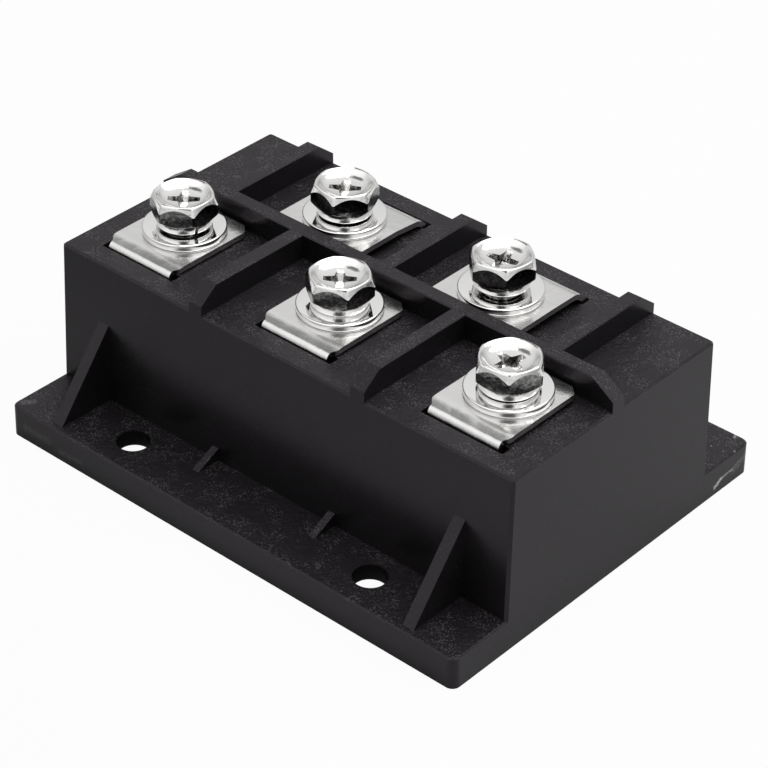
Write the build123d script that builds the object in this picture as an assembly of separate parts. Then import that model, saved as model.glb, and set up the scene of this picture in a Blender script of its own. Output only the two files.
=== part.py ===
from build123d import *
from math import cos, radians, tan
import os

# Three-phase bridge rectifier module: a black moulded housing with a mounting flange along each long
# side, a metal base plate let into its underside, six diode chips potted inside, and five screw
# terminals on its ribbed deck. Millimetres, +Z up, X along the module. The front, at -Y, has the three
# AC terminals and the rear has the two DC ones. Z = 0 is the underside of the base plate.

# Housing, outside
length = 80.0                  # at the underside
flange_width = 62.2
body_width = 42.1              # of the block, where it rises from the flanges
flange_top = 5.0
deck_height = 26.4
end_draft = 1.1                # degrees, on the two end faces
side_draft = 1.4               # degrees, on the two long walls
flange_corner_radius = 1.2
body_corner_bevel = 0.4
flange_edge_bevel = 0.25
deck_edge_bevel = 0.3

# Housing, shell
wall_thickness = 2.4
deck_thickness = 2.4
flange_skin = 2.4              # of the flange where it is cored out from below
flange_rim = 2.2               # outer wall of the cored flange

# Barrier ribs on the deck
rib_thickness = 2.3
rib_height = 3.7
rib_end_step = 1.4             # upright part of a rib's end, flush with the wall
cross_rib_slope = 3.0          # run of the sloped end of a cross rib
long_rib_slope = 3.4           # run of the sloped end of the long rib
rib_edge_bevel = 0.15

# Gussets and low ribs between the block and the flanges
gusset_thickness = 1.8
gusset_height = 12.0
gusset_setback = 1.0           # from the gusset's foot to the flange's edge
gusset_position = 31.6
low_rib_thickness = 1.1
low_rib_height = 1.9
low_rib_run = 3.8
low_rib_position = 10.5
web_thickness = 1.8            # webs that divide the cored underside of a flange

# Mounting holes in the flanges
mounting_hole_diameter = 4.7
mounting_spacing_x = 42.8
mounting_spacing_y = 51.4

# Base plate and its seat
plate_thickness = 3.0
plate_proud = 0.2              # the plate stands this far below the housing
plate_seat_width = 1.2         # of the ledge in the wall that the plate bears on
plate_clearance = 0.1
plate_corner_radius = 1.0

# Terminals
terminal_inset = 11.6          # from the housing's ends, at its underside, to the outer AC terminals
dc_terminal_spacing = 27.6
screw_offset = 8.1             # from the module's long centre line to the screws
strip_thickness = 0.8
pad_inner_gap = 0.55           # between a strip's end and the long rib
pad_corner_cut = 1.25
pad_hole_diameter = 5.8
ac_strip_width = 12.7
ac_neck_width = 11.2
dc_strip_width = 15.0
neck_length = 1.9              # the narrow stretch of an AC strip, back from its slot's outer edge
ac_bend_radius = 0.7           # of an AC strip's middle, where it turns down
dc_bend_radius = 2.6           # of a DC strip's middle, where it turns down
foot_length = 3.7
slot_clearance_side = 0.3      # between a DC strip and each end of its slot
slot_clearance_outside = 0.3
slot_width = 1.6
slot_inset = 3.3               # from the wall's top edge to the slot
ac_slot_length = 13.2

# How far each strip's underside stands above the deck, as it sprang back from its bend
pad_rises = {"ac_1": 0.3, "ac_2": 0.4, "ac_3": 0.6, "negative": 1.1, "positive": 1.2}

# M5 screws, washers and nuts
thread_diameter = 5.0
thread_clearance = 0.05
screw_length = 12.0
head_across_flats = 8.3
head_height = 3.1
head_crest_radius = 3.85       # of the crest between the dish and the cone around it
head_corner_drop = 1.5         # of the cone that cuts the head's upper corners
dish_floor_radius = 2.7
dish_depth = 0.5
recess_span = 4.3
recess_arm = 1.05
recess_depth = 1.9
recess_taper = 26.0            # degrees, by which the arms' ends run in towards the floor
flat_washer_diameter = 11.6
flat_washer_thickness = 1.05
spring_washer_diameter = 7.7
spring_washer_section = 1.3
spring_washer_split = 0.45
spring_washer_slant = 15.0     # degrees
washer_bore_clearance = 0.15
nut_across_flats = 8.0
nut_height = 4.0
nut_rise = 0.2                 # the nuts stand this far above the deck, under their strips
nut_pocket_clearance = 0.15
boss_wall = 1.6
boss_floor = 1.0
tip_clearance = 0.5
tip_hole_clearance = 0.4

# The gap under each spring washer, as the screws are not all driven home
screw_lifts = {"ac_1": 0.4, "ac_2": 0.0, "ac_3": 0.1, "negative": 0.25, "positive": 0.65}

# Turn of each screw head, of its cross recess and of its washer's split, degrees, as they were left
head_turns = {"ac_1": 30.7, "ac_2": 24.9, "ac_3": 7.7, "negative": 52.0, "positive": 15.8}
recess_turns = {"ac_1": 17.0, "ac_2": 40.0, "ac_3": 71.0, "negative": 34.0, "positive": 12.0}
split_turns = {"ac_1": -20.0, "ac_2": 118.0, "ac_3": 95.0, "negative": 150.0, "positive": 76.0}

# Circuit inside
ceramic_thickness = 0.6
ceramic_margin = 1.2           # from the ceramic's edge to the cavity wall
track_thickness = 0.8
track_margin = 0.5             # from the tracks to the ceramic's edge
track_gap = 3.0                # between the positive plate and the AC plates
ac_track_gap = 2.0             # between one AC plate and the next
chip_size = 7.0
chip_thickness = 0.6
upper_chip_offset = 6.0        # of the three chips on the positive plate, towards the rear
lower_chip_offset = 8.5        # of the three chips on the AC plates, towards the front
jumper_thickness = 0.5
jumper_width = 5.0
jumper_rise = 1.35
jumper_foot = 2.2
jumper_inset = 1.0             # from an upper chip's edge to the jumper's flat end and to its rise
link_thickness = 0.6
link_width = 4.0
link_inset = 0.5               # from the outer chips' edges to the link's ends
link_tail_width = 5.0
link_tail_rise = 2.2
link_rise_start = 1.0          # from the lower chip's edge to where the tail rises
link_rise_run = 3.0
gel_level = 12.0

# Places that follow from the sizes above
terminal_pitch = length / 2 - terminal_inset
half_gap = track_gap / 2
housing_bottom = plate_proud
plate_top = plate_thickness
cavity_top = deck_height - deck_thickness
rib_root = deck_height - 2 * deck_edge_bevel
rib_top = deck_height + rib_height
nut_bottom = deck_height + nut_rise - nut_height
ceramic_top = plate_top + ceramic_thickness
track_top = ceramic_top + track_thickness
chip_top = track_top + chip_thickness
link_tail_bottom = chip_top + link_tail_rise


def half_length(level):
    """Half the housing's length at a level: its end faces lean in with the end draft."""
    return length / 2 - (level - housing_bottom) * tan(radians(end_draft))


def half_body(level):
    """Half the block's width at a level: its long walls lean in with the side draft."""
    return body_width / 2 - (level - flange_top) * tan(radians(side_draft))


def pad_top(name):
    """The level of a strip's upper face, under its screw."""
    return deck_height + pad_rises[name] + strip_thickness


def head_bottom(name):
    """The level of a screw head's underside, on its spring washer."""
    return pad_top(name) + flat_washer_thickness + screw_lifts[name] + spring_washer_section


lowest_tip = min(head_bottom(name) for name in pad_rises) - screw_length
boss_bottom = lowest_tip - tip_clearance - boss_floor
slot_outer = half_body(deck_height) - slot_inset
slot_inner = slot_outer - slot_width
leg_middle = slot_outer - slot_clearance_outside - strip_thickness / 2
pad_inner = rib_thickness / 2 + pad_inner_gap
dc_slot_length = dc_strip_width + 2 * slot_clearance_side

# Each terminal's name, its place along X, and its side of the module: -1 front, 1 rear
terminals = [
    ("ac_1", -terminal_pitch, -1),
    ("ac_2", 0.0, -1),
    ("ac_3", terminal_pitch, -1),
    ("negative", -dc_terminal_spacing / 2, 1),
    ("positive", dc_terminal_spacing / 2, 1),
]
phases = (-terminal_pitch, 0.0, terminal_pitch)


def lengthwise(profile, thickness, at=0.0):
    """A plate from a profile of (x, z) points, standing along X."""
    face = make_face(Polyline(*profile, close=True))
    return Pos(0, at, 0) * extrude(Plane.XZ * face, amount=thickness / 2, both=True)


def crosswise(profile, thickness, at=0.0):
    """A plate from a profile of (y, z) points, standing along Y."""
    face = make_face(Polyline(*profile, close=True))
    return Pos(at, 0, 0) * extrude(Plane.YZ * face, amount=thickness / 2, both=True)


def both_ways(points):
    """A profile from its right half, read upwards, and the mirror image of that half."""
    return points + [(-along, level) for along, level in reversed(points)]


def corner_edges(block):
    """The four upright edges of a block."""
    box = block.bounding_box()
    middle = (box.min.Z + box.max.Z) / 2
    return block.edges().filter_by(lambda edge: abs(edge.center().Z - middle) < 0.01)


def drafted_block(bottom, top, inset):
    """A block between two levels with the housing's drafted walls, moved in by an inset."""
    ends = both_ways([(half_length(level) - inset, level) for level in (bottom, top)])
    walls = both_ways([(half_body(level) - inset, level) for level in (bottom, top)])
    beyond = length + body_width
    return lengthwise(ends, beyond) & crosswise(walls, beyond)


def bent_strip(line, thickness, width):
    """A strip of sheet along its middle line in the Y-Z plane, centred on X = 0."""
    return extrude(Plane.YZ * trace(line, thickness), amount=width / 2, both=True)


def folded_strip(points, thickness, width):
    """A strip of thin sheet, folded sharply, above a line of (y, z) points and centred on X = 0."""
    outline = offset(Polyline(*points), amount=thickness, kind=Kind.INTERSECTION, side=Side.LEFT, closed=True)
    return extrude(Plane.YZ * make_face(outline), amount=width / 2, both=True)


def facing(side):
    """Turns what is modelled towards the rear to its own side of the module."""
    return Rot(0, 0, 0 if side > 0 else 180)


def hexagon(across_flats, height):
    """A six-sided prism, standing on its lower face."""
    corner = across_flats / 2 / cos(radians(30))
    return extrude(RegularPolygon(radius=corner, side_count=6), amount=height)


# Barrier ribs
def rib_profile(start, wall, slope_run):
    """Side view of a rib from a start point to an end flush with the drafted wall."""
    fall = (rib_height - rib_end_step) / slope_run
    beyond = rib_end_step / 2 / fall
    return [
        (start, rib_root),
        (wall + beyond, rib_root),
        (wall + beyond, deck_height + rib_end_step / 2),
        (wall - slope_run, rib_top),
        (start, rib_top),
    ]


def bevel_rib(rib):
    """Bevels the long upper edges of a rib."""
    top = rib.faces().sort_by(Axis.Z)[-1]
    return chamfer(top.edges().filter_by(lambda edge: edge.length > 2 * rib_thickness), rib_edge_bevel)


def barrier_ribs():
    """One rib along the deck, two across its front half and three across its rear half."""
    end = half_length(deck_height + rib_end_step)
    half = rib_profile(0.0, end, long_rib_slope)
    ribs = [bevel_rib(lengthwise(both_ways(half[1:-1]), rib_thickness))]
    wall = half_body(deck_height + rib_end_step)
    cross = bevel_rib(crosswise(rib_profile(0.0, wall, cross_rib_slope), rib_thickness))
    for x in (-terminal_pitch / 2, terminal_pitch / 2):
        ribs.append(Pos(x, 0, 0) * facing(-1) * cross)
    for x in phases:
        ribs.append(Pos(x, 0, 0) * cross)
    envelope = drafted_block(rib_root, rib_top, 0.0)
    return [rib & envelope for rib in ribs]


# Flanges
def flange():
    """The plate that makes both flanges, with rounded corners and bevelled upper edges."""
    ends = both_ways([(half_length(level), level) for level in (housing_bottom, flange_top)])
    plate = lengthwise(ends, flange_width)
    plate = fillet(corner_edges(plate), flange_corner_radius)
    return chamfer(plate.faces().sort_by(Axis.Z)[-1].edges(), flange_edge_bevel)


def flange_braces():
    """Gussets near the ends and low ribs between them, on both flanges."""
    foot = flange_width / 2 - gusset_setback
    root = flange_top - flange_skin / 2
    inside = half_body(flange_top) - wall_thickness / 2
    gusset = [
        (inside, root),
        (foot, root),
        (foot, flange_top),
        (half_body(flange_top + gusset_height), flange_top + gusset_height),
        (inside, flange_top + gusset_height),
    ]
    low = [
        (inside, root),
        (half_body(flange_top) + low_rib_run, root),
        (half_body(flange_top) + low_rib_run, flange_top),
        (half_body(flange_top + low_rib_height), flange_top + low_rib_height),
        (inside, flange_top + low_rib_height),
    ]
    braces = []
    for side in (-1, 1):
        for x in (-gusset_position, gusset_position):
            braces.append(Pos(x, 0, 0) * facing(side) * crosswise(gusset, gusset_thickness))
        for x in (-low_rib_position, low_rib_position):
            braces.append(Pos(x, 0, 0) * facing(side) * crosswise(low, low_rib_thickness))
    return braces


def flange_cores():
    """The pockets that core out the flanges from below, between webs under the gussets and ribs."""
    near = half_body(flange_top)
    far = flange_width / 2 - flange_rim
    height = flange_top - flange_skin - housing_bottom
    half_web = web_thickness / 2
    webs = (-gusset_position, -low_rib_position, low_rib_position, gusset_position)
    starts = (-length / 2 + flange_rim,) + tuple(x + half_web for x in webs)
    ends = tuple(x - half_web for x in webs) + (length / 2 - flange_rim,)
    cores = []
    for start, end in zip(starts, ends):
        pocket = Box(end - start, far - near, height, align=(Align.CENTER, Align.CENTER, Align.MIN))
        for side in (-1, 1):
            cores.append(Pos((start + end) / 2, side * (near + far) / 2, housing_bottom) * pocket)
    return cores


def mounting_holes():
    """The four holes through the flanges."""
    hole = Cylinder(mounting_hole_diameter / 2, 4 * flange_top)
    places = GridLocations(mounting_spacing_x, mounting_spacing_y, 2, 2)
    return [place * hole for place in places]


# Deck
def terminal_slots():
    """The slots through the deck that the terminal strips come up through."""
    slots = []
    for name, x, side in terminals:
        along = ac_slot_length if name.startswith("ac") else dc_slot_length
        middle = side * (slot_inner + slot_outer) / 2
        slots.append(Pos(x, middle, deck_height) * Box(along, slot_width, 4 * deck_thickness))
    return slots


def nut_bosses():
    """The six-sided bosses under the deck that hold the captive nuts."""
    across_flats = nut_across_flats + 2 * (nut_pocket_clearance + boss_wall)
    boss = hexagon(across_flats, cavity_top - boss_bottom)
    return [Pos(x, side * screw_offset, boss_bottom) * boss for name, x, side in terminals]


def nut_pockets():
    """Each nut's six-sided pocket and the narrower one below it for the screw's tip."""
    pocket = hexagon(nut_across_flats + 2 * nut_pocket_clearance, nut_height)
    depth = nut_bottom - lowest_tip + tip_clearance
    pocket += Pos(0, 0, -depth) * hexagon(thread_diameter + 2 * tip_hole_clearance, depth)
    return [Pos(x, side * screw_offset, nut_bottom) * pocket for name, x, side in terminals]


def cavity():
    """The room inside the housing, which the bosses stand into, with the base plate's seat."""
    room = drafted_block(housing_bottom, cavity_top, wall_thickness)
    room -= nut_bosses()
    return room


def plate_outline(clearance):
    """The base plate's outline, or with a clearance its seat's."""
    across = 2 * (half_length(housing_bottom) - wall_thickness + plate_seat_width + clearance)
    deep = 2 * (half_body(plate_top) - wall_thickness + plate_seat_width + clearance)
    return RectangleRounded(across, deep, plate_corner_radius)


def housing():
    """The one-piece moulded housing."""
    block = drafted_block(housing_bottom, deck_height, 0.0)
    block = chamfer(corner_edges(block), body_corner_bevel)
    block = chamfer(block.faces().sort_by(Axis.Z)[-1].edges(), deck_edge_bevel)
    shell = block + flange()
    shell += barrier_ribs() + flange_braces()
    shell -= cavity()
    shell -= extrude(plate_outline(plate_clearance), amount=plate_top)
    shell -= flange_cores() + mounting_holes() + terminal_slots() + nut_pockets()
    return shell


# Base and circuit
def base_plate():
    """The plated metal plate that carries the heat down to the heat sink."""
    return extrude(plate_outline(0.0), amount=plate_thickness)


ceramic_half_length = half_length(plate_top) - wall_thickness - ceramic_margin
ceramic_half_width = half_body(plate_top) - wall_thickness - ceramic_margin
track_half_length = ceramic_half_length - track_margin
track_half_width = ceramic_half_width - track_margin


def slab(x_low, x_high, y_low, y_high, bottom, thickness):
    """A flat piece between two X and two Y values, standing on a level."""
    piece = Box(x_high - x_low, y_high - y_low, thickness)
    return Pos((x_low + x_high) / 2, (y_low + y_high) / 2, bottom + thickness / 2) * piece


def ceramic_plate():
    """The insulating plate under all the tracks."""
    return slab(
        -ceramic_half_length, ceramic_half_length, -ceramic_half_width, ceramic_half_width,
        plate_top, ceramic_thickness,
    )


def positive_plate():
    """The copper plate along the rear half that carries the three upper chips."""
    return slab(
        -track_half_length, track_half_length, half_gap, track_half_width,
        ceramic_top, track_thickness,
    )


def ac_plate(start, end):
    """The copper plate under one AC terminal, which carries a lower chip."""
    return slab(start, end, -track_half_width, -half_gap, ceramic_top, track_thickness)


def diode(x, y):
    """One diode chip."""
    half = chip_size / 2
    return slab(x - half, x + half, y - half, y + half, track_top, chip_thickness)


def jumper(x):
    """The bent copper strip from an upper chip's face down to its phase's AC plate."""
    heel = -half_gap - jumper_thickness
    points = [
        (heel - jumper_foot, track_top),
        (heel, track_top),
        (-half_gap / 2, chip_top + jumper_rise),
        (half_gap, chip_top + jumper_rise),
        (upper_chip_offset - chip_size / 2 + jumper_inset, chip_top),
        (upper_chip_offset + chip_size / 2 - jumper_inset, chip_top),
    ]
    return Pos(x, 0, 0) * folded_strip(points, jumper_thickness, jumper_width)


def negative_link():
    """The stamped strip over the three lower chips, with a raised tail to the negative terminal."""
    reach = terminal_pitch + chip_size / 2 - link_inset
    bar = slab(
        -reach, reach, -lower_chip_offset - link_width / 2, -lower_chip_offset + link_width / 2,
        chip_top, link_thickness,
    )
    rise = -lower_chip_offset + chip_size / 2 + link_rise_start
    points = [
        (-lower_chip_offset, chip_top),
        (rise, chip_top),
        (rise + link_rise_run, link_tail_bottom),
        (leg_middle, link_tail_bottom),
    ]
    tail = folded_strip(points, link_thickness, link_tail_width)
    return bar + Pos(-dc_terminal_spacing / 2, 0, 0) * tail


# Terminals
def terminal_strip(pad_level, width, neck, bend_radius, foot_bottom):
    """A strip that lies under its screw, bends down through its slot and ends in a soldered foot."""
    middle = pad_level - strip_thickness / 2
    foot = foot_bottom + strip_thickness / 2
    turn = [(pad_inner, middle), (leg_middle, middle), (leg_middle, foot_bottom)]
    line = FilletPolyline(*turn, radius=bend_radius)
    line += Line((leg_middle, foot), (leg_middle - foot_length, foot))
    strip = bent_strip(line, strip_thickness, width)
    ends = strip.edges().filter_by(Axis.Z).filter_by(lambda edge: edge.center().Y < pad_inner + 0.01)
    strip = chamfer(ends, pad_corner_cut)
    strip -= Pos(0, screw_offset, pad_level) * Cylinder(pad_hole_diameter / 2, 4 * strip_thickness)
    if neck < width:
        shoulder = slot_outer - neck_length
        beside = Box(width, width, 4 * deck_height, align=(Align.MIN, Align.MIN, Align.CENTER))
        strip -= Pos(neck / 2, shoulder, 0) * beside
        strip -= Pos(-neck / 2 - width, shoulder, 0) * beside
    return strip


def terminal(name, x, side):
    """One terminal strip in its place."""
    foot_bottom = link_tail_bottom + link_thickness if name == "negative" else track_top
    if name.startswith("ac"):
        strip = terminal_strip(pad_top(name), ac_strip_width, ac_neck_width, ac_bend_radius, foot_bottom)
    else:
        strip = terminal_strip(pad_top(name), dc_strip_width, dc_strip_width, dc_bend_radius, foot_bottom)
    return Pos(x, 0, 0) * facing(side) * strip


# Fasteners
def screw(name):
    """A screw with a dished six-sided head and a cross recess, its thread left as a plain shank."""
    corner = head_across_flats / 2 / cos(radians(30))
    turned = [
        (0, 0), (corner, 0), (corner, head_height - head_corner_drop), (head_crest_radius, head_height),
        (dish_floor_radius, head_height - dish_depth), (0, head_height - dish_depth),
    ]
    head = Rot(0, 0, head_turns[name]) * hexagon(head_across_flats, head_height)
    head &= revolve(Plane.XZ * make_face(Polyline(*turned, close=True)), Axis.Z)
    floor = recess_span / 2 - recess_depth * tan(radians(recess_taper))
    arms = both_ways([(floor, -recess_depth), (recess_span / 2, 0)])
    recess = lengthwise(arms, recess_arm) + crosswise(arms, recess_arm)
    head -= Pos(0, 0, head_height - dish_depth) * Rot(0, 0, recess_turns[name]) * recess
    radius = thread_diameter / 2 - thread_clearance
    shank = Cylinder(radius, screw_length, align=(Align.CENTER, Align.CENTER, Align.MAX))
    return head + shank


def ring(outside, thickness):
    """A ring around the screw, standing on its lower face."""
    blank = Cylinder(outside / 2, thickness, align=(Align.CENTER, Align.CENTER, Align.MIN))
    return blank - Cylinder(thread_diameter / 2 + washer_bore_clearance, 4 * thickness)


def spring_washer(name):
    """A split spring washer, pressed flat, with its slanted split."""
    blank = ring(spring_washer_diameter, spring_washer_section)
    cut = Box(spring_washer_diameter, spring_washer_split, 4 * spring_washer_section)
    cut = Rot(spring_washer_slant, 0, 0) * cut
    cut = Pos(spring_washer_diameter / 2, 0, spring_washer_section / 2) * cut
    return blank - Rot(0, 0, split_turns[name]) * cut


def nut():
    """A plain six-sided nut, its thread left as a plain bore."""
    return hexagon(nut_across_flats, nut_height) - Cylinder(thread_diameter / 2, 4 * nut_height)


# Fillings
def filling(bottom, top, inside):
    """Potting between two levels of the cavity, around everything that stands in it."""
    return (cavity() & slab(-length, length, -length, length, bottom, top - bottom)) - inside


os.makedirs("parts", exist_ok=True)
pieces = {
    "housing": housing(),
    "base_plate": base_plate(),
    "ceramic_plate": ceramic_plate(),
    "positive_plate": positive_plate(),
    "negative_link": negative_link(),
}
between = terminal_pitch / 2 - ac_track_gap / 2
past = terminal_pitch / 2 + ac_track_gap / 2
ac_spans = [(-track_half_length, -past), (-between, between), (past, track_half_length)]
for number, (x, span) in enumerate(zip(phases, ac_spans), 1):
    pieces[f"ac_plate_{number}"] = ac_plate(*span)
    pieces[f"diode_upper_{number}"] = diode(x, upper_chip_offset)
    pieces[f"diode_lower_{number}"] = diode(x, -lower_chip_offset)
    pieces[f"jumper_{number}"] = jumper(x)
for name, x, side in terminals:
    pieces[f"terminal_{name}"] = terminal(name, x, side)

sealed_in = [piece for name, piece in pieces.items() if name not in ("housing", "base_plate")]
pieces["silicone_gel"] = filling(plate_top, gel_level, sealed_in)
pieces["epoxy_fill"] = filling(gel_level, cavity_top, sealed_in)

for name, x, side in terminals:
    place = Pos(x, side * screw_offset, 0)
    pieces[f"nut_{name}"] = place * Pos(0, 0, nut_bottom) * nut()
    flat_washer = ring(flat_washer_diameter, flat_washer_thickness)
    pieces[f"flat_washer_{name}"] = place * Pos(0, 0, pad_top(name)) * flat_washer
    spring_bottom = head_bottom(name) - spring_washer_section
    pieces[f"spring_washer_{name}"] = place * Pos(0, 0, spring_bottom) * spring_washer(name)
    pieces[f"screw_{name}"] = place * Pos(0, 0, head_bottom(name)) * screw(name)

for name, piece in pieces.items():
    export_step(piece, f"parts/{name}.step")
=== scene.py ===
from math import cos, pi, radians, sin, tan

import bmesh
import bpy
from mathutils import Matrix, Vector


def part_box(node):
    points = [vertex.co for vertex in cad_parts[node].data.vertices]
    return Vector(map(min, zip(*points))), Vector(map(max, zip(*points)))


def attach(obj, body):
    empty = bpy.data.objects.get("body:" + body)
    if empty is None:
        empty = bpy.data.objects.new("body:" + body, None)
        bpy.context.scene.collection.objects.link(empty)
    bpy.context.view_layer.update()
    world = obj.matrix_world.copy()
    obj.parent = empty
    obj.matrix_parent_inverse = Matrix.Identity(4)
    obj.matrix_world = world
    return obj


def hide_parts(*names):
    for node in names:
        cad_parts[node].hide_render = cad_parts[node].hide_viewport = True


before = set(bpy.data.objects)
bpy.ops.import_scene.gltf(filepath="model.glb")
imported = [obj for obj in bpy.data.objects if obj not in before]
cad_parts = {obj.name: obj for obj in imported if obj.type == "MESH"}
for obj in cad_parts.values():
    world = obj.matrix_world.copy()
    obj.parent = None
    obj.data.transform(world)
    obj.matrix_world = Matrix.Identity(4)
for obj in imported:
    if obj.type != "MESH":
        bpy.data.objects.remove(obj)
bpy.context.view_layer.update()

# The housing: one injection moulding in black glass-filled plastic, from a spark-eroded mould
# that left a fine grain on it. It is glued round the base plate and carries everything else.
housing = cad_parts["housing"]
# pieces are sized in millimetres here, and the scene is in metres
mm = 0.001

black_moulding = bpy.data.materials.new("black_moulding")
black_moulding.use_nodes = True
tree = black_moulding.node_tree
plastic = tree.nodes["Principled BSDF"]
plastic.inputs["IOR"].default_value = 1.5
plastic.inputs["Specular Tint"].default_value = (1.0, 0.88, 1.0, 1)
where = tree.nodes.new("ShaderNodeTexCoord")

# dust settles on what faces up, and dulls it
facing = tree.nodes.new("ShaderNodeNewGeometry")
tilt = tree.nodes.new("ShaderNodeSeparateXYZ")
tree.links.new(facing.outputs["Normal"], tilt.inputs["Vector"])
upward = tree.nodes.new("ShaderNodeMapRange")
upward.inputs["From Min"].default_value = 0.5
upward.inputs["From Max"].default_value = 0.95
tree.links.new(tilt.outputs["Z"], upward.inputs["Value"])
sheen = tree.nodes.new("ShaderNodeMapRange")
sheen.inputs["To Min"].default_value = 0.34
sheen.inputs["To Max"].default_value = 0.28
tree.links.new(upward.outputs["Result"], sheen.inputs["Value"])
tree.links.new(sheen.outputs["Result"], plastic.inputs["Specular IOR Level"])

# colour: almost black, with pale specks of that dust in patches
specks = tree.nodes.new("ShaderNodeTexVoronoi")
specks.inputs["Scale"].default_value = 3000
tree.links.new(where.outputs["Object"], specks.inputs["Vector"])
speck_size = tree.nodes.new("ShaderNodeMapRange")
speck_size.inputs["From Min"].default_value = 0.42
speck_size.inputs["From Max"].default_value = 0.1
tree.links.new(specks.outputs["Distance"], speck_size.inputs["Value"])
clouds = tree.nodes.new("ShaderNodeTexNoise")
clouds.inputs["Scale"].default_value = 320
clouds.inputs["Detail"].default_value = 4
tree.links.new(where.outputs["Object"], clouds.inputs["Vector"])
patches = tree.nodes.new("ShaderNodeMapRange")
patches.inputs["From Min"].default_value = 0.42
patches.inputs["From Max"].default_value = 0.72
tree.links.new(clouds.outputs["Fac"], patches.inputs["Value"])
specked = tree.nodes.new("ShaderNodeMath")
specked.operation = "MULTIPLY"
tree.links.new(speck_size.outputs["Result"], specked.inputs[0])
tree.links.new(patches.outputs["Result"], specked.inputs[1])
dust = tree.nodes.new("ShaderNodeMath")
dust.operation = "MULTIPLY"
tree.links.new(specked.outputs["Value"], dust.inputs[0])
tree.links.new(upward.outputs["Result"], dust.inputs[1])
colour = tree.nodes.new("ShaderNodeMix")
colour.data_type = "RGBA"
colour.inputs["A"].default_value = (0.0105, 0.0096, 0.0105, 1)
colour.inputs["B"].default_value = (0.2, 0.194, 0.2, 1)
tree.links.new(dust.outputs["Value"], colour.inputs["Factor"])

# wear: where the flanges were knocked and rubbed, each streak as its two ends, its half width
# and its strength, in millimetres
knocks = [
    ((39.98, 23.3, 1.4), (39.96, 24.7, 2.15), 0.5, 1.0),
    ((39.96, 24.7, 2.15), (39.96, 27.2, 2.3), 0.35, 0.5),
    ((39.96, 27.2, 2.3), (39.95, 28.5, 2.9), 0.3, 0.22),
    ((39.96, 27.7, 2.0), (39.94, 30.3, 3.2), 0.9, 0.12),
    ((37.9, 30.2, 4.95), (37.6, 31.0, 4.9), 0.35, 0.5),
    ((36.7, 26.5, 5.0), (36.75, 26.5, 5.0), 0.22, 0.35),
    ((38.6, 26.6, 5.0), (38.65, 26.7, 5.0), 0.22, 0.3),
    ((39.7, 27.7, 4.95), (39.7, 27.8, 4.95), 0.25, 0.35),
    ((-39.0, -29.7, 5.0), (-38.0, -28.7, 5.0), 0.9, 0.16),
    ((-37.2, -31.1, 2.2), (-32.5, -31.1, 2.4), 1.0, 0.05),
    ((-30.3, -31.1, 1.6), (-26.4, -31.1, 1.9), 0.8, 0.05),
]
rubbed = None
for start, end, width, strength in knocks:
    run = Vector(end) - Vector(start)
    away = tree.nodes.new("ShaderNodeVectorMath")
    away.operation = "SUBTRACT"
    away.inputs[1].default_value = Vector(start) * mm
    tree.links.new(where.outputs["Object"], away.inputs[0])
    along = tree.nodes.new("ShaderNodeVectorMath")
    along.operation = "DOT_PRODUCT"
    along.inputs[1].default_value = run * mm
    tree.links.new(away.outputs["Vector"], along.inputs[0])
    share = tree.nodes.new("ShaderNodeMapRange")
    share.inputs["From Max"].default_value = run.length_squared * mm * mm
    tree.links.new(along.outputs["Value"], share.inputs["Value"])
    foot = tree.nodes.new("ShaderNodeVectorMath")
    foot.operation = "SCALE"
    foot.inputs[0].default_value = run * mm
    tree.links.new(share.outputs["Result"], foot.inputs["Scale"])
    gap = tree.nodes.new("ShaderNodeVectorMath")
    gap.operation = "DISTANCE"
    tree.links.new(away.outputs["Vector"], gap.inputs[0])
    tree.links.new(foot.outputs["Vector"], gap.inputs[1])
    mark = tree.nodes.new("ShaderNodeMapRange")
    mark.interpolation_type = "SMOOTHSTEP"
    mark.inputs["From Min"].default_value = width * mm
    mark.inputs["From Max"].default_value = 0
    mark.inputs["To Max"].default_value = strength
    tree.links.new(gap.outputs["Value"], mark.inputs["Value"])
    if rubbed is None:
        rubbed = mark.outputs["Result"]
    else:
        worse = tree.nodes.new("ShaderNodeMath")
        worse.operation = "MAXIMUM"
        tree.links.new(rubbed, worse.inputs[0])
        tree.links.new(mark.outputs["Result"], worse.inputs[1])
        rubbed = worse.outputs["Value"]
ragged = tree.nodes.new("ShaderNodeTexNoise")
ragged.inputs["Scale"].default_value = 2600
ragged.inputs["Detail"].default_value = 3
tree.links.new(where.outputs["Object"], ragged.inputs["Vector"])
broken = tree.nodes.new("ShaderNodeMapRange")
broken.inputs["From Min"].default_value = 0.38
broken.inputs["From Max"].default_value = 0.62
broken.inputs["To Min"].default_value = 0.25
tree.links.new(ragged.outputs["Fac"], broken.inputs["Value"])
worn = tree.nodes.new("ShaderNodeMath")
worn.operation = "MULTIPLY"
tree.links.new(rubbed, worn.inputs[0])
tree.links.new(broken.outputs["Result"], worn.inputs[1])
scuffed = tree.nodes.new("ShaderNodeMix")
scuffed.data_type = "RGBA"
scuffed.inputs["B"].default_value = (0.9, 0.9, 0.9, 1)
tree.links.new(worn.outputs["Value"], scuffed.inputs["Factor"])
tree.links.new(colour.outputs["Result"], scuffed.inputs["A"])
tree.links.new(scuffed.outputs["Result"], plastic.inputs["Base Color"])

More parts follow.
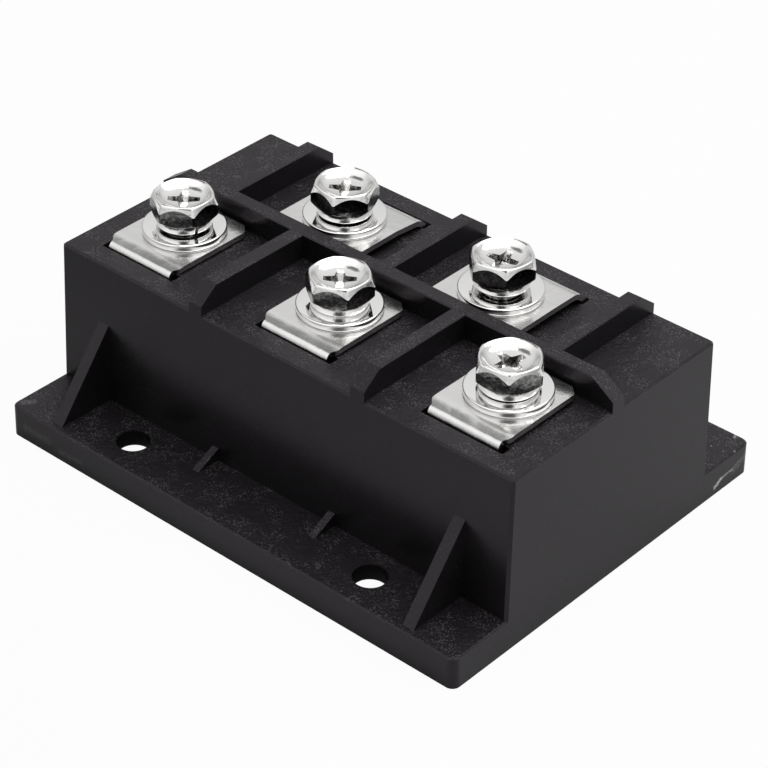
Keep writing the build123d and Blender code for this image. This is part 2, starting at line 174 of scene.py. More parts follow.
# grain: a fine uneven skin, deeper on what faces up, which the floor of the mould made
grain = tree.nodes.new("ShaderNodeTexNoise")
grain.inputs["Scale"].default_value = 1500
grain.inputs["Detail"].default_value = 5
grain.inputs["Roughness"].default_value = 0.75
tree.links.new(where.outputs["Object"], grain.inputs["Vector"])
skin = tree.nodes.new("ShaderNodeBump")
skin.inputs["Distance"].default_value = 0.00018
tree.links.new(grain.outputs["Fac"], skin.inputs["Height"])
depth = tree.nodes.new("ShaderNodeMapRange")
depth.inputs["To Min"].default_value = 0.07
depth.inputs["To Max"].default_value = 1.0
tree.links.new(upward.outputs["Result"], depth.inputs["Value"])
tree.links.new(depth.outputs["Result"], skin.inputs["Strength"])
tree.links.new(skin.outputs["Normal"], plastic.inputs["Normal"])
dullness = tree.nodes.new("ShaderNodeMapRange")
dullness.inputs["To Min"].default_value = 0.2
dullness.inputs["To Max"].default_value = 0.32
tree.links.new(clouds.outputs["Fac"], dullness.inputs["Value"])
tree.links.new(dullness.outputs["Result"], plastic.inputs["Roughness"])

for place in housing.material_slots:
    place.material = black_moulding

# The base plate: sheet copper, blanked, ground flat and nickel plated. It is glued into the
# housing's underside and carries the circuit.
plated_base = bpy.data.materials.new("plated_base")
plated_base.use_nodes = True
tree = plated_base.node_tree
nickel = tree.nodes["Principled BSDF"]
nickel.inputs["Metallic"].default_value = 1
nickel.inputs["Base Color"].default_value = (0.66, 0.64, 0.6, 1)
where = tree.nodes.new("ShaderNodeTexCoord")
stretch = tree.nodes.new("ShaderNodeMapping")
stretch.inputs["Scale"].default_value = (1, 40, 1)
tree.links.new(where.outputs["Object"], stretch.inputs["Vector"])
scratches = tree.nodes.new("ShaderNodeTexNoise")
scratches.inputs["Scale"].default_value = 240
scratches.inputs["Detail"].default_value = 3
tree.links.new(stretch.outputs["Vector"], scratches.inputs["Vector"])
dullness = tree.nodes.new("ShaderNodeMapRange")
dullness.inputs["To Min"].default_value = 0.25
dullness.inputs["To Max"].default_value = 0.5
tree.links.new(scratches.outputs["Fac"], dullness.inputs["Value"])
tree.links.new(dullness.outputs["Result"], nickel.inputs["Roughness"])
lines = tree.nodes.new("ShaderNodeBump")
lines.inputs["Strength"].default_value = 0.15
lines.inputs["Distance"].default_value = 0.00002
tree.links.new(scratches.outputs["Fac"], lines.inputs["Height"])
tree.links.new(lines.outputs["Normal"], nickel.inputs["Normal"])

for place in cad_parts["base_plate"].material_slots:
    place.material = plated_base

# The circuit on the base plate: a white ceramic plate with copper tracks, six silicon chips,
# copper jumpers and the negative link, all soldered, then covered with gel and cast in with epoxy.
inner_finishes = {
    "white_ceramic": ((0.9, 0.9, 0.88, 1), 0.0, 0.7, ["ceramic_plate"]),
    "bare_copper": (
        (0.8, 0.45, 0.3, 1), 1.0, 0.35,
        [
            "positive_plate", "negative_link", "ac_plate_1", "ac_plate_2", "ac_plate_3",
            "jumper_1", "jumper_2", "jumper_3",
        ],
    ),
    "silicon": (
        (0.2, 0.21, 0.23, 1), 0.2, 0.3,
        [f"diode_{row}_{number}" for row in ("upper", "lower") for number in (1, 2, 3)],
    ),
    "clear_gel": ((0.8, 0.8, 0.76, 1), 0.0, 0.15, ["silicone_gel"]),
    "black_epoxy": ((0.03, 0.03, 0.03, 1), 0.0, 0.25, ["epoxy_fill"]),
}
for name, (tint, metal, dull, nodes) in inner_finishes.items():
    finish = bpy.data.materials.new(name)
    finish.use_nodes = True
    tree = finish.node_tree
    surface = tree.nodes["Principled BSDF"]
    surface.inputs["Base Color"].default_value = tint
    surface.inputs["Metallic"].default_value = metal
    where = tree.nodes.new("ShaderNodeTexCoord")
    mottle = tree.nodes.new("ShaderNodeTexNoise")
    mottle.inputs["Scale"].default_value = 900
    tree.links.new(where.outputs["Object"], mottle.inputs["Vector"])
    dullness = tree.nodes.new("ShaderNodeMapRange")
    dullness.inputs["To Min"].default_value = dull * 0.8
    dullness.inputs["To Max"].default_value = dull * 1.2
    tree.links.new(mottle.outputs["Fac"], dullness.inputs["Value"])
    tree.links.new(dullness.outputs["Result"], surface.inputs["Roughness"])
    for node in nodes:
        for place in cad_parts[node].material_slots:
            place.material = finish

# The terminal strips: copper, blanked, nickel plated and bent over after the housing is cast. Each
# comes up through its slot, turns over and lies under its screw, as far down as it sprang back.
terminals = ("ac_1", "ac_2", "ac_3", "negative", "positive")
# sizes in millimetres, offsets from the module's long centre line
strip_thickness = 0.8
pad_start = 1.7
leg_middle = 16.53
leg_top = 20.0
foot_end = 12.83
foot_turn = 0.3
neck_width = 11.4
shoulder_start = 15.3
shoulder_end = 15.95
corner_cut = 1.25
screw_offset = 8.1
pad_hole_radius = 2.9
sheared_edge = 0.09
# where each pad starts to dip, the radius of that turn, how far it falls, and the fold's radius
ac_fold = (14.95, 3.4, 0.52, 0.75)
folds = {
    "ac_1": ac_fold, "ac_2": ac_fold, "ac_3": ac_fold,
    "negative": (10.2, 9.0, 0.55, 2.6), "positive": (10.2, 9.0, 0.1, 2.6),
}

nickel_strip = bpy.data.materials.new("nickel_strip")
nickel_strip.use_nodes = True
tree = nickel_strip.node_tree
nickel = tree.nodes["Principled BSDF"]
nickel.inputs["Metallic"].default_value = 1
nickel.inputs["Base Color"].default_value = (0.72, 0.715, 0.705, 1)
where = tree.nodes.new("ShaderNodeTexCoord")
waves = tree.nodes.new("ShaderNodeTexNoise")
waves.inputs["Scale"].default_value = 260
waves.inputs["Detail"].default_value = 4
tree.links.new(where.outputs["Object"], waves.inputs["Vector"])
dullness = tree.nodes.new("ShaderNodeMapRange")
dullness.inputs["To Min"].default_value = 0.14
dullness.inputs["To Max"].default_value = 0.34
tree.links.new(waves.outputs["Fac"], dullness.inputs["Value"])
tree.links.new(dullness.outputs["Result"], nickel.inputs["Roughness"])
dents = tree.nodes.new("ShaderNodeBump")
dents.inputs["Strength"].default_value = 0.75
dents.inputs["Distance"].default_value = 0.0002
tree.links.new(waves.outputs["Fac"], dents.inputs["Height"])
tree.links.new(dents.outputs["Normal"], nickel.inputs["Normal"])


def limits(node):
    """The lowest and highest corners of a CAD node, in millimetres."""
    low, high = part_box(node)
    return low / mm, high / mm


def strip_corners(name, pad_level, foot_level):
    """The corners of a strip's middle line, each with the radius of its turn."""
    middle = pad_level - strip_thickness / 2
    dip_start, dip_turn, fall, fold_turn = folds[name]
    return [
        ((pad_start, middle), 0),
        ((dip_start, middle), dip_turn),
        ((leg_middle, middle - fall), fold_turn),
        ((leg_middle, foot_level), foot_turn),
        ((foot_end, foot_level), 0),
    ]


def strip_line(corners):
    """The strip's middle line in its own plane, with its turns rounded and cut into short steps."""
    finest_turn, finest_run = radians(6), 0.3
    line = [Vector(corners[0][0])]
    for (before, _), (corner, turn), (after, _) in zip(corners, corners[1:], corners[2:]):
        before, corner, after = Vector(before), Vector(corner), Vector(after)
        back, on = (before - corner).normalized(), (after - corner).normalized()
        half = back.angle(on) / 2
        centre = corner + (back + on).normalized() * turn / sin(half)
        sweep = pi - 2 * half
        steps = max(3, round(sweep / finest_turn))
        first = corner + back * turn / tan(half) - centre
        last = corner + on * turn / tan(half) - centre
        for step in range(steps + 1):
            share = step / steps
            spoke = first * sin((1 - share) * sweep) + last * sin(share * sweep)
            line.append(centre + spoke / sin(sweep))
    line.append(Vector(corners[-1][0]))
    fine = [line[0]]
    for start, end in zip(line, line[1:]):
        pieces = max(1, round((end - start).length / finest_run))
        fine += [start.lerp(end, step / pieces) for step in range(1, pieces + 1)]
    return fine


def strip_mesh(line, side, width, neck):
    """A bent strip as a closed mesh, with its own half width at each station along the line."""
    stations = []
    run = 0.0
    for index, point in enumerate(line):
        if index:
            run += (point - line[index - 1]).length
        half = width / 2 - max(0, corner_cut - run)
        tangent = (line[min(index + 1, len(line) - 1)] - line[max(index - 1, 0)]).normalized()
        if point.y < leg_top:
            half = neck / 2
        elif point.x > shoulder_start:
            share = min(1, (point.x - shoulder_start) / (shoulder_end - shoulder_start))
            half = (width + (neck - width) * share) / 2
        stations.append((point, tangent, half))
    across, weld = 16, 1e-7
    mesh = bmesh.new()
    upper, lower = [], []
    for point, tangent, half in stations:
        normal = Vector((-tangent.y, tangent.x)) * strip_thickness / 2
        rows = []
        for face in (point + normal, point - normal):
            row = []
            for step in range(across + 1):
                x = half * (2 * step / across - 1)
                row.append(mesh.verts.new(Vector((x, face.x, face.y)) * mm))
            rows.append(row)
        upper.append(rows[0])
        lower.append(rows[1])
    for near, far, under_near, under_far in zip(upper, upper[1:], lower, lower[1:]):
        for cell in range(across):
            mesh.faces.new((near[cell], near[cell + 1], far[cell + 1], far[cell]))
            mesh.faces.new((under_near[cell + 1], under_near[cell], under_far[cell], under_far[cell + 1]))
        mesh.faces.new((near[0], far[0], under_far[0], under_near[0]))
        mesh.faces.new((far[-1], near[-1], under_near[-1], under_far[-1]))
    for row, under in ((upper[0], lower[0]), (upper[-1], lower[-1])):
        for cell in range(across):
            mesh.faces.new((row[cell], row[cell + 1], under[cell + 1], under[cell]))
    bmesh.ops.remove_doubles(mesh, verts=mesh.verts, dist=weld)
    bmesh.ops.recalc_face_normals(mesh, faces=mesh.faces)
    if side < 0:
        bmesh.ops.rotate(mesh, verts=mesh.verts, matrix=Matrix.Rotation(pi, 3, "Z"))
    data = bpy.data.meshes.new("strip")
    mesh.to_mesh(data)
    mesh.free()
    return data


def punched(data, punch):
    """A mesh with the shape of a punch cut out of it."""
    blank = bpy.data.objects.new("blank", data)
    tool = bpy.data.objects.new("punch", punch)
    for thing in (blank, tool):
        bpy.context.scene.collection.objects.link(thing)
    strike = blank.modifiers.new("strike", "BOOLEAN")
    strike.object = tool
    strike.operation = "DIFFERENCE"
    strike.solver = "EXACT"
    result = blank.evaluated_get(bpy.context.evaluated_depsgraph_get())
    struck = bpy.data.meshes.new_from_object(result)
    for thing in (blank, tool):
        bpy.data.objects.remove(thing)
    struck.materials.clear()
    return struck


def show(name, data, finish, node):
    """Puts a piece in the scene in place of its CAD node."""
    data.name = name
    data.materials.append(finish)
    piece = bpy.data.objects.new(name, data)
    bpy.context.scene.collection.objects.link(piece)
    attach(piece, "root")
    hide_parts(node)
    return piece


def soften(piece, width):
    """Rounds a piece's edges a little and shades it smooth between them."""
    corner = 35
    edge = piece.modifiers.new("edges", "BEVEL")
    edge.width = width * mm
    edge.segments = 3
    edge.limit_method = "ANGLE"
    edge.angle_limit = radians(corner)
    edge.harden_normals = True
    for face in piece.data.polygons:
        face.use_smooth = True


def hole_punch(centre):
    """The round punch for a pad's hole, long enough to stand out of the pad on both sides."""
    length = 5 * strip_thickness
    hole = bmesh.new()
    bmesh.ops.create_cone(
        hole, cap_ends=True, segments=64, depth=length * mm,
        radius1=pad_hole_radius * mm, radius2=pad_hole_radius * mm,
    )
    bmesh.ops.translate(hole, verts=hole.verts, vec=Vector(centre) * mm)
    data = bpy.data.meshes.new("punch")
    hole.to_mesh(data)
    hole.free()
    return data


for name in terminals:
    low, high = limits("terminal_" + name)
    side = 1 if low.y > 0 else -1
    width = high.x - low.x
    neck = neck_width if name.startswith("ac") else width
    line = strip_line(strip_corners(name, high.z, low.z + strip_thickness / 2))
    blank = strip_mesh(line, side, width, neck)
    data = punched(blank, hole_punch((0, side * screw_offset, high.z)))
    data.transform(Matrix.Translation(Vector(((low.x + high.x) / 2, 0, 0)) * mm))
    strip = show("strip_" + name, data, nickel_strip, "terminal_" + name)
    soften(strip, sheared_edge)

# The captive nuts: steel hexagon nuts, nickel plated, dropped into their pockets before the
# strips were bent over them.
nickel_screw = bpy.data.materials.new("nickel_screw")
nickel_screw.use_nodes = True
tree = nickel_screw.node_tree
nickel = tree.nodes["Principled BSDF"]
nickel.inputs["Metallic"].default_value = 1
nickel.inputs["Base Color"].default_value = (0.8, 0.795, 0.785, 1)
where = tree.nodes.new("ShaderNodeTexCoord")
ripple = tree.nodes.new("ShaderNodeTexNoise")
ripple.inputs["Scale"].default_value = 1400
ripple.inputs["Detail"].default_value = 4
tree.links.new(where.outputs["Object"], ripple.inputs["Vector"])
dullness = tree.nodes.new("ShaderNodeMapRange")
dullness.inputs["To Min"].default_value = 0.06
dullness.inputs["To Max"].default_value = 0.18
tree.links.new(ripple.outputs["Fac"], dullness.inputs["Value"])
tree.links.new(dullness.outputs["Result"], nickel.inputs["Roughness"])
forging = tree.nodes.new("ShaderNodeBump")
forging.inputs["Strength"].default_value = 0.6
forging.inputs["Distance"].default_value = 0.00006
tree.links.new(ripple.outputs["Fac"], forging.inputs["Height"])
tree.links.new(forging.outputs["Normal"], nickel.inputs["Normal"])

for name in terminals:
    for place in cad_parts["nut_" + name].material_slots:
        place.material = nickel_screw

# The flat washers: stamped steel, tumbled until their edges are round, then bright nickel plated.
# Each lies loose on its strip, round the screw.
around = 192
bore_radius = 2.65
tumbled_edge = 0.24

nickel_washer = nickel_screw.copy()
nickel_washer.name = "nickel_washer"
polished = nickel_washer.node_tree.nodes
polished["Principled BSDF"].inputs["Base Color"].default_value = (0.82, 0.815, 0.81, 1)
for node in polished:
    if node.type == "MAP_RANGE":
        node.inputs["To Min"].default_value = 0.03
        node.inputs["To Max"].default_value = 0.1
    if node.type == "BUMP":
        node.inputs["Strength"].default_value = 0.08


def lathe(name, rings, closed=False):
    """A mesh skinned over rings, each a function that gives radius and level for an angle."""
    mesh = bmesh.new()
    loops = []
    for ring in rings:
        loop = []
        for step in range(around):
            angle = 2 * pi * step / around
            radius, level = ring(angle)
            point = Vector((radius * cos(angle), radius * sin(angle), level))
            loop.append(mesh.verts.new(point * mm))
        loops.append(loop)
    pairs = list(zip(loops, loops[1:]))
    if closed:
        pairs.append((loops[-1], loops[0]))
    for one, two in pairs:
        for here in range(around):
            beside = (here + 1) % around
            mesh.faces.new((one[here], one[beside], two[beside], two[here]))
    if not closed:
        mesh.faces.new(loops[0])
        mesh.faces.new(loops[-1])
    bmesh.ops.recalc_face_normals(mesh, faces=mesh.faces)
    data = bpy.data.meshes.new(name)
    mesh.to_mesh(data)
    mesh.free()
    for face in data.polygons:
        face.use_smooth = True
    return data


def turned(radius, level):
    """A round ring of a turned profile."""
    return lambda angle: (radius, level)


def rounded_section(inner, outer, bottom, top, edge, steps=5):
    """A washer's section with rounded corners, as radius and level points."""
    corners = [
        (outer - edge, top - edge, 90, 0), (outer - edge, bottom + edge, 0, -90),
        (inner + edge, bottom + edge, -90, -180), (inner + edge, top - edge, 180, 90),
    ]
    section = []
    for radius, level, start, end in corners:
        for step in range(steps + 1):
            turn = radians(start + (end - start) * step / steps)
            section.append((radius + edge * cos(turn), level + edge * sin(turn)))
    return section


for name in terminals:
    low, high = limits("flat_washer_" + name)
    section = rounded_section(bore_radius, (high.x - low.x) / 2, low.z, high.z, tumbled_edge)
    data = lathe("flat_washer_" + name, [turned(*point) for point in section], closed=True)
    centre = (low + high) / 2
    data.transform(Matrix.Translation(Vector((centre.x, centre.y, 0)) * mm))
    show("washer_" + name, data, nickel_washer, "flat_washer_" + name)

# The spring washers: square steel wire, coiled one turn, cut, hardened and plated. They hang on
# their screws, some of which were never driven home. The cuts stand at the angles in splits.
splits = {"ac_1": -20.0, "ac_2": 118.0, "ac_3": 95.0, "negative": 150.0, "positive": 76.0}
spring_radius = 3.85
split_gap = 0.4
split_slant = 8.0
wire_edge = 0.18


def spring_washer(name, split, spring_height):
    """A split ring of square wire with rounded edges and a slanted cut."""
    section = rounded_section(bore_radius, spring_radius, 0, spring_height, wire_edge, 4)
    mesh = bmesh.new()
    loops = []
    steps = 150
    for step in range(steps + 1):
        loop = []
        for radius, level in section:
            slant = (level - spring_height / 2) * tan(radians(split_slant)) / radius
            half_gap = split_gap / 2 / radius
            angle = radians(split) + half_gap + (2 * pi - 2 * half_gap) * step / steps + slant
            point = Vector((radius * cos(angle), radius * sin(angle), level))
            loop.append(mesh.verts.new(point * mm))
        loops.append(loop)
    for one, two in zip(loops, loops[1:]):
        for here in range(len(section)):
            beside = (here + 1) % len(section)
            mesh.faces.new((one[here], one[beside], two[beside], two[here]))
    mesh.faces.new(loops[0])
    mesh.faces.new(loops[-1])
    bmesh.ops.recalc_face_normals(mesh, faces=mesh.faces)
    data = bpy.data.meshes.new(name)
    mesh.to_mesh(data)
    mesh.free()
    for face in data.polygons:
        face.use_smooth = len(face.vertices) == 4
    return data


for name in terminals:
    low, high = limits("spring_washer_" + name)
    low_washer, high_washer = limits("flat_washer_" + name)
    data = spring_washer("spring_washer_" + name, splits[name], high.z - low.z)
    centre = (low_washer + high_washer) / 2
    data.transform(Matrix.Translation(Vector((centre.x, centre.y, low.z)) * mm))
    show("spring_" + name, data, nickel_screw, "spring_washer_" + name)

# The screws: M5, cold headed with a dished hexagon and a cross recess struck in one blow, thread
# rolled, bright nickel plated. Each was left at its own angle when it was tightened.
# sizes in millimetres, turns in degrees
head_height = 3.1
across_flats = 8.3
corner_wear = 0.07
shank_radius = 2.45
shank_length = 12.0
tip_bevel = 0.6
head_turns = {"ac_1": 30.7, "ac_2": 24.9, "ac_3": 7.7, "negative": 52.0, "positive": 15.8}
recess_turns = {"ac_1": 39.0, "ac_2": 40.0, "ac_3": 75.0, "negative": 34.0, "positive": 12.0}
# the dish ends in a rim that swells towards the hexagon's corners, and outside it a cone, which
# falls by cone_fall for each millimetre outwards, cuts the corners
dish_depth = 0.95
rim_start = 3.55
corner_pull = 0.35
cone_start = 4.02
cone_drop = 0.13
cone_fall = 2.3
# underneath, the corners rise again outside the round seat
low_bevel_start = 4.1
low_corner_rise = 0.5
seat_radius = 3.95
seat_ring = 3.6
# the cross recess, from arm's end to arm's end, with its arms' width and the fillet between them
recess_span = 4.4
recess_arm = 0.9
recess_root = 0.3
recess_depth = 1.5
# edges that turn by more than this stay sharp to the eye
sharp_edge = 22

# the six sides are trimmed after heading; their colour is painted darker than the struck top, in torn
# streaks, as painted shade for the black deck they mirror
screw_painted_dark_sides = nickel_screw.copy()
screw_painted_dark_sides.name = "screw_painted_dark_sides"
tree = screw_painted_dark_sides.node_tree
nickel = tree.nodes["Principled BSDF"]
facing = tree.nodes.new("ShaderNodeNewGeometry")
tilt = tree.nodes.new("ShaderNodeSeparateXYZ")
tree.links.new(facing.outputs["True Normal"], tilt.inputs["Vector"])
lean = tree.nodes.new("ShaderNodeMath")
lean.operation = "ABSOLUTE"
tree.links.new(tilt.outputs["Z"], lean.inputs[0])
shaded_sides = tree.nodes.new("ShaderNodeMath")
shaded_sides.operation = "LESS_THAN"
shaded_sides.inputs[1].default_value = 0.1
tree.links.new(lean.outputs["Value"], shaded_sides.inputs[0])
where = tree.nodes.new("ShaderNodeTexCoord")
tears = tree.nodes.new("ShaderNodeTexNoise")
tears.inputs["Scale"].default_value = 1900
tears.inputs["Detail"].default_value = 3
tree.links.new(where.outputs["Object"], tears.inputs["Vector"])
# the upright sides take these dark colours: painted shade, broken by torn streaks
torn_painted_shade = tree.nodes.new("ShaderNodeValToRGB")
torn_painted_shade.color_ramp.elements[0].position = 0.4
torn_painted_shade.color_ramp.elements[0].color = (0.16, 0.158, 0.156, 1)
torn_painted_shade.color_ramp.elements[1].position = 0.68
torn_painted_shade.color_ramp.elements[1].color = (0.42, 0.415, 0.41, 1)
tree.links.new(tears.outputs["Fac"], torn_painted_shade.inputs["Fac"])
shade = tree.nodes.new("ShaderNodeMix")
shade.data_type = "RGBA"
shade.inputs["A"].default_value = (0.8, 0.795, 0.785, 1)
tree.links.new(shaded_sides.outputs["Value"], shade.inputs["Factor"])
tree.links.new(torn_painted_shade.outputs["Color"], shade.inputs["B"])
tree.links.new(shade.outputs["Result"], nickel.inputs["Base Color"])


def flat_distance(angle, turn):
    """How far the hexagon's side is from the axis at an angle, with its corners a little worn."""
    nearest = (angle - radians(turn) + pi / 6) % (pi / 3) - pi / 6
    side = across_flats / 2 / cos(pi / 6 - abs(nearest))
    return min(side, across_flats / 2 / cos(pi / 6) - corner_wear)


def swell(angle, turn):
    """How far the rim bulges towards the hexagon's corners at an angle."""
    return corner_pull * (flat_distance(angle, turn) - across_flats / 2)


def head_bottom(angle, turn):
    """The level of the hexagon's lower edge, which rises a little towards the corners."""
    low_corner = across_flats / 2 / cos(pi / 6)
    reach = flat_distance(angle, turn)
    return low_corner_rise * (reach - low_bevel_start) / (low_corner - low_bevel_start)


def screw(name, turn):
    """The screw, from the middle of its dish over the rim, down the hexagon and in to the shank."""
    # the dish as radius and level, measured from its crest
    dish = [
        (0.9, -dish_depth), (1.8, -0.93), (2.4, -0.87), (2.8, -0.76), (3.1, -0.6), (3.35, -0.4),
        (3.55, -0.21), (3.68, -0.09), (3.77, -0.025), (3.84, 0.0), (3.91, -0.015), (3.97, -0.06),
        (cone_start, -cone_drop),
    ]
    rings = []
    for radius, level in dish:
        def on_dish(angle, radius=radius, level=level):
            share = max(0, (radius - rim_start) / (cone_start - rim_start))
            return radius + share * swell(angle, turn), head_height + level
        rings.append(on_dish)
    for share in (0.25, 0.5, 0.75, 0.92, 1.0):
        def on_cone(angle, share=share):
            start = cone_start + swell(angle, turn)
            reach = flat_distance(angle, turn) - start
            return start + reach * share, head_height - cone_drop - reach * share * cone_fall
        rings.append(on_cone)
    for share in (0.02, 0.1, 0.5, 0.9, 0.98, 1.0):
        def on_side(angle, share=share):
            reach = flat_distance(angle, turn)
            top = head_height - cone_drop - (reach - cone_start - swell(angle, turn)) * cone_fall
            return reach, top + (head_bottom(angle, turn) - top) * share
        rings.append(on_side)
    for share in (0.3, 1.0):
        def under(angle, share=share):
            reach = flat_distance(angle, turn)
            return reach + (seat_radius - reach) * share, head_bottom(angle, turn) * (1 - share)
        rings.append(under)
    shank = [
        (seat_ring, 0.0), (shank_radius, 0.0), (shank_radius, tip_bevel - shank_length),
        (shank_radius - tip_bevel, -shank_length),
    ]
    rings += [turned(radius, level) for radius, level in shank]
    return lathe(name, rings)


def cross_cutter(turn):
    """The punch that strikes the cross recess: four tapered arms."""
    mesh = bmesh.new()
    # level over the dish, and by how much the arms' sides and ends are drawn in there
    above, below = (0.4, -0.024, -0.12), (-recess_depth, 0.12, 0.6)
    loops = []
    for level, side_inset, end_inset in (above, below):
        side, end = recess_arm / 2 - side_inset, recess_span / 2 - end_inset
        root = side + recess_root
        outline = [
            (end, -side), (end, side), (root, root), (side, end), (-side, end), (-root, root),
            (-end, side), (-end, -side), (-root, -root), (-side, -end), (side, -end), (root, -root),
        ]
        z = head_height - dish_depth + level
        loops.append([mesh.verts.new(Vector((x, y, z)) * mm) for x, y in outline])
    top, bottom = loops
    for here in range(len(top)):
        beside = (here + 1) % len(top)
        mesh.faces.new((top[here], top[beside], bottom[beside], bottom[here]))
    mesh.faces.new(top)
    mesh.faces.new(bottom)
    bmesh.ops.recalc_face_normals(mesh, faces=mesh.faces)
    bmesh.ops.rotate(mesh, verts=mesh.verts, matrix=Matrix.Rotation(radians(turn), 3, "Z"))
    data = bpy.data.meshes.new("cross_punch")
    mesh.to_mesh(data)
    mesh.free()
    return data


for name in terminals:
    low, high = limits("spring_washer_" + name)
    low_washer, high_washer = limits("flat_washer_" + name)
    centre = (low_washer + high_washer) / 2
    data = punched(screw("screw_" + name, head_turns[name]), cross_cutter(recess_turns[name]))
    data.transform(Matrix.Translation(Vector((centre.x, centre.y, high.z)) * mm))
    # the screws take the material whose upright sides carry the painted shade
    show("bolt_" + name, data, screw_painted_dark_sides, "screw_" + name)
    data.set_sharp_from_angle(angle=radians(sharp_edge))

# The floor and the background: a plain table of white paper, seen as white. Near the module it
# keeps the module's own soft shadow, also where the metal mirrors it.
floor_mesh = bpy.data.meshes.new("floor")
edge = 3000 * mm
floor_corners = [(-edge, -edge, 0), (edge, -edge, 0), (edge, edge, 0), (-edge, edge, 0)]
floor_mesh.from_pydata(floor_corners, [], [(0, 1, 2, 3)])
floor = bpy.data.objects.new("floor", floor_mesh)
bpy.context.scene.collection.objects.link(floor)
paper = bpy.data.materials.new("white_paper")
paper.use_nodes = True
tree = paper.node_tree
sheet = tree.nodes["Principled BSDF"]
sheet.inputs["Roughness"].default_value = 0.9
sheet.inputs["Specular IOR Level"].default_value = 0.0
spot = tree.nodes.new("ShaderNodeNewGeometry")

# the paper falls off to grey in front of the module: a painted shadow there, which the module's walls
# mirror
forward = tree.nodes.new("ShaderNodeVectorMath")
forward.operation = "DOT_PRODUCT"
forward.inputs[1].default_value = Vector((-0.5, -0.85, 0)).normalized()
tree.links.new(spot.outputs["Position"], forward.inputs[0])
painted_shadow_fade = tree.nodes.new("ShaderNodeMapRange")
painted_shadow_fade.inputs["From Min"].default_value = 0.03
painted_shadow_fade.inputs["From Max"].default_value = 0.08
tree.links.new(forward.outputs["Value"], painted_shadow_fade.inputs["Value"])
painted_shadow_grey = tree.nodes.new("ShaderNodeMix")
painted_shadow_grey.data_type = "RGBA"
painted_shadow_grey.inputs["A"].default_value = (0.8, 0.8, 0.8, 1)
painted_shadow_grey.inputs["B"].default_value = (0.5, 0.5, 0.5, 1)
tree.links.new(painted_shadow_fade.outputs["Result"], painted_shadow_grey.inputs["Factor"])
tree.links.new(painted_shadow_grey.outputs["Result"], sheet.inputs["Base Color"])

# white to the camera everywhere, and in mirrors and glass away from the module
rays = tree.nodes.new("ShaderNodeLightPath")
glow = tree.nodes.new("ShaderNodeEmission")
glow.inputs["Strength"].default_value = 1.0
distance = tree.nodes.new("ShaderNodeVectorMath")
distance.operation = "LENGTH"
tree.links.new(spot.outputs["Position"], distance.inputs[0])
clear_of_shadow = tree.nodes.new("ShaderNodeMapRange")
clear_of_shadow.inputs["From Min"].default_value = 0.1
clear_of_shadow.inputs["From Max"].default_value = 0.3
tree.links.new(distance.outputs["Value"], clear_of_shadow.inputs["Value"])
mirrored = tree.nodes.new("ShaderNodeMath")
mirrored.operation = "MAXIMUM"
tree.links.new(rays.outputs["Is Glossy Ray"], mirrored.inputs[0])
tree.links.new(rays.outputs["Is Transmission Ray"], mirrored.inputs[1])
mirrored_far = tree.nodes.new("ShaderNodeMath")
mirrored_far.operation = "MULTIPLY"
tree.links.new(mirrored.outputs["Value"], mirrored_far.inputs[0])
tree.links.new(clear_of_shadow.outputs["Result"], mirrored_far.inputs[1])
white = tree.nodes.new("ShaderNodeMath")
white.operation = "MAXIMUM"
tree.links.new(rays.outputs["Is Camera Ray"], white.inputs[0])
tree.links.new(mirrored_far.outputs["Value"], white.inputs[1])
seen = tree.nodes.new("ShaderNodeMath")
seen.operation = "MULTIPLY"
seen.inputs[1].default_value = 0.96
tree.links.new(white.outputs["Value"], seen.inputs[0])
blend = tree.nodes.new("ShaderNodeMixShader")
tree.links.new(seen.outputs["Value"], blend.inputs["Fac"])
tree.links.new(sheet.outputs["BSDF"], blend.inputs[1])
tree.links.new(glow.outputs["Emission"], blend.inputs[2])
tree.links.new(blend.outputs["Shader"], tree.nodes["Material Output"].inputs["Surface"])
floor_mesh.materials.append(paper)

# The room: a pale tent, lighter overhead than low down, with a dark hole at the front right for
# the lens and a darker gap between two of its panels on the left.
studio = bpy.data.worlds.new("studio")
bpy.context.scene.world = studio
studio.use_nodes = True
tree = studio.node_tree
towards = tree.nodes.new("ShaderNodeTexCoord")
aloft = tree.nodes.new("ShaderNodeSeparateXYZ")
tree.links.new(towards.outputs["Generated"], aloft.inputs["Vector"])
low_down = tree.nodes.new("ShaderNodeMapRange")
low_down.inputs["To Min"].default_value = 1.0
low_down.inputs["To Max"].default_value = 0.0
tree.links.new(aloft.outputs["Z"], low_down.inputs["Value"])
near_horizon = tree.nodes.new("ShaderNodeMath")
near_horizon.operation = "POWER"
near_horizon.inputs[1].default_value = 2.0
tree.links.new(low_down.outputs["Result"], near_horizon.inputs[0])
tent = tree.nodes.new("ShaderNodeMapRange")
tent.inputs["To Min"].default_value = 1.0
tent.inputs["To Max"].default_value = 0.25
tree.links.new(near_horizon.outputs["Value"], tent.inputs["Value"])

# the hole for the lens
lens_side = tree.nodes.new("ShaderNodeVectorMath")
lens_side.operation = "DOT_PRODUCT"
lens_side.inputs[1].default_value = Vector((0.53, -0.61, 0.59)).normalized()
tree.links.new(towards.outputs["Generated"], lens_side.inputs[0])
lens_hole = tree.nodes.new("ShaderNodeMapRange")
lens_hole.interpolation_type = "SMOOTHSTEP"
lens_hole.inputs["From Min"].default_value = cos(radians(24))
lens_hole.inputs["From Max"].default_value = cos(radians(6))
lens_hole.inputs["To Min"].default_value = 1.0
lens_hole.inputs["To Max"].default_value = 0.05
tree.links.new(lens_side.outputs["Value"], lens_hole.inputs["Value"])

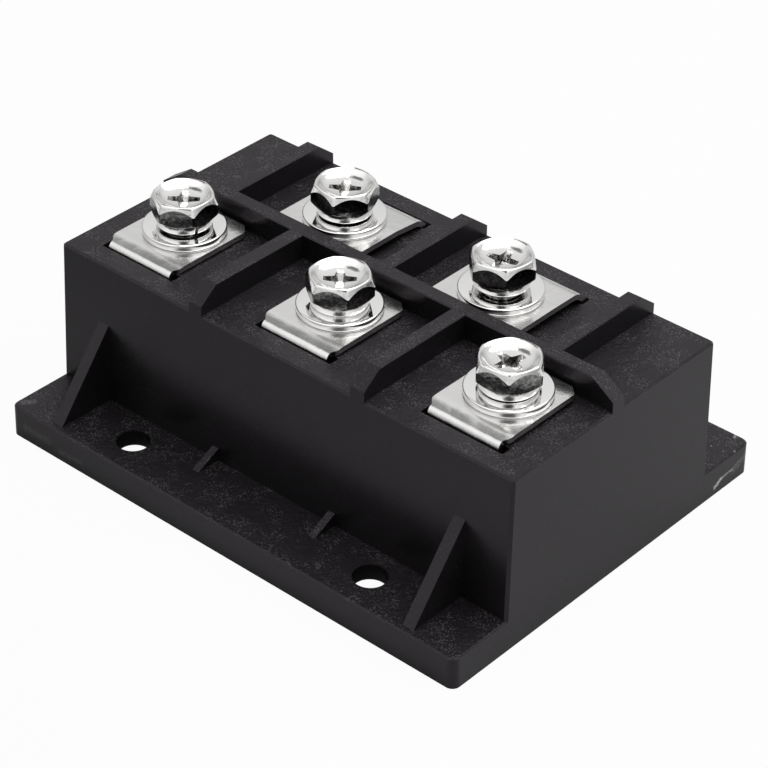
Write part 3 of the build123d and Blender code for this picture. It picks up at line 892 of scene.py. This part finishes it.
# the tent's front wall is brighter than the others
front = tree.nodes.new("ShaderNodeVectorMath")
front.operation = "DOT_PRODUCT"
front.inputs[1].default_value = Vector((0.3, -0.95, 0.0)).normalized()
tree.links.new(towards.outputs["Generated"], front.inputs[0])
front_wall = tree.nodes.new("ShaderNodeMapRange")
front_wall.inputs["From Min"].default_value = -0.1
front_wall.inputs["From Max"].default_value = 0.5
front_wall.inputs["To Min"].default_value = 1.0
front_wall.inputs["To Max"].default_value = 1.5
tree.links.new(front.outputs["Value"], front_wall.inputs["Value"])
lit_tent = tree.nodes.new("ShaderNodeMath")
lit_tent.operation = "MULTIPLY"
tree.links.new(tent.outputs["Result"], lit_tent.inputs[0])
tree.links.new(front_wall.outputs["Result"], lit_tent.inputs[1])

# the gap between two panels
panel_side = tree.nodes.new("ShaderNodeVectorMath")
panel_side.operation = "DOT_PRODUCT"
panel_side.inputs[1].default_value = Vector((-0.53, 0.08, 0.84)).normalized()
tree.links.new(towards.outputs["Generated"], panel_side.inputs[0])
panel_gap = tree.nodes.new("ShaderNodeMapRange")
panel_gap.interpolation_type = "SMOOTHSTEP"
panel_gap.inputs["From Min"].default_value = cos(radians(18))
panel_gap.inputs["From Max"].default_value = cos(radians(9))
panel_gap.inputs["To Min"].default_value = 1.0
panel_gap.inputs["To Max"].default_value = 0.22
tree.links.new(panel_side.outputs["Value"], panel_gap.inputs["Value"])
holes = tree.nodes.new("ShaderNodeMath")
holes.operation = "MULTIPLY"
tree.links.new(panel_gap.outputs["Result"], holes.inputs[0])
tree.links.new(lens_hole.outputs["Result"], holes.inputs[1])
shown = tree.nodes.new("ShaderNodeMath")
shown.operation = "MULTIPLY"
tree.links.new(lit_tent.outputs["Value"], shown.inputs[0])
tree.links.new(holes.outputs["Value"], shown.inputs[1])

# seen by the camera and in mirrors and glass, while its own light on the module is weaker
rays = tree.nodes.new("ShaderNodeLightPath")
mirrored = tree.nodes.new("ShaderNodeMath")
mirrored.operation = "MAXIMUM"
tree.links.new(rays.outputs["Is Camera Ray"], mirrored.inputs[0])
tree.links.new(rays.outputs["Is Glossy Ray"], mirrored.inputs[1])
seen = tree.nodes.new("ShaderNodeMath")
seen.operation = "MAXIMUM"
tree.links.new(mirrored.outputs["Value"], seen.inputs[0])
tree.links.new(rays.outputs["Is Transmission Ray"], seen.inputs[1])
level = tree.nodes.new("ShaderNodeMix")
level.inputs["A"].default_value = 0.3
tree.links.new(seen.outputs["Value"], level.inputs["Factor"])
tree.links.new(shown.outputs["Value"], level.inputs["B"])
tree.links.new(level.outputs["Result"], tree.nodes["Background"].inputs["Strength"])
tree.nodes["Background"].inputs["Color"].default_value = (1, 1, 1, 1)

# The light: one wide soft box above the rear right corner, as for a plain catalogue picture. It is
# turned to the middle of the module.
soft_box = bpy.data.lights.new("soft_box", "AREA")
soft_box.shape = "SQUARE"
soft_box.size = 0.8
soft_box.energy = 4.0
lamp = bpy.data.objects.new("soft_box", soft_box)
lamp.location = (0.2, 0.15, 0.72)
lamp.rotation_euler = (-lamp.location).to_track_quat("-Z", "Y").to_euler()
bpy.context.scene.collection.objects.link(lamp)

# The camera: a long lens from the front right, above the module, where the photo was taken from.
# The module and the white table fill its picture.
view = bpy.data.cameras.new("camera")
view.sensor_width = 36
view.lens = 129.89
view.clip_start = 0.01
camera = bpy.data.objects.new("camera", view)
camera.location = (0.20145, -0.23187, 0.22612)
camera.rotation_euler = (radians(55.0363), radians(-0.9279), radians(41.5123))
bpy.context.scene.collection.objects.link(camera)
bpy.context.scene.camera = camera
bpy.context.scene.view_settings.view_transform = "Standard"
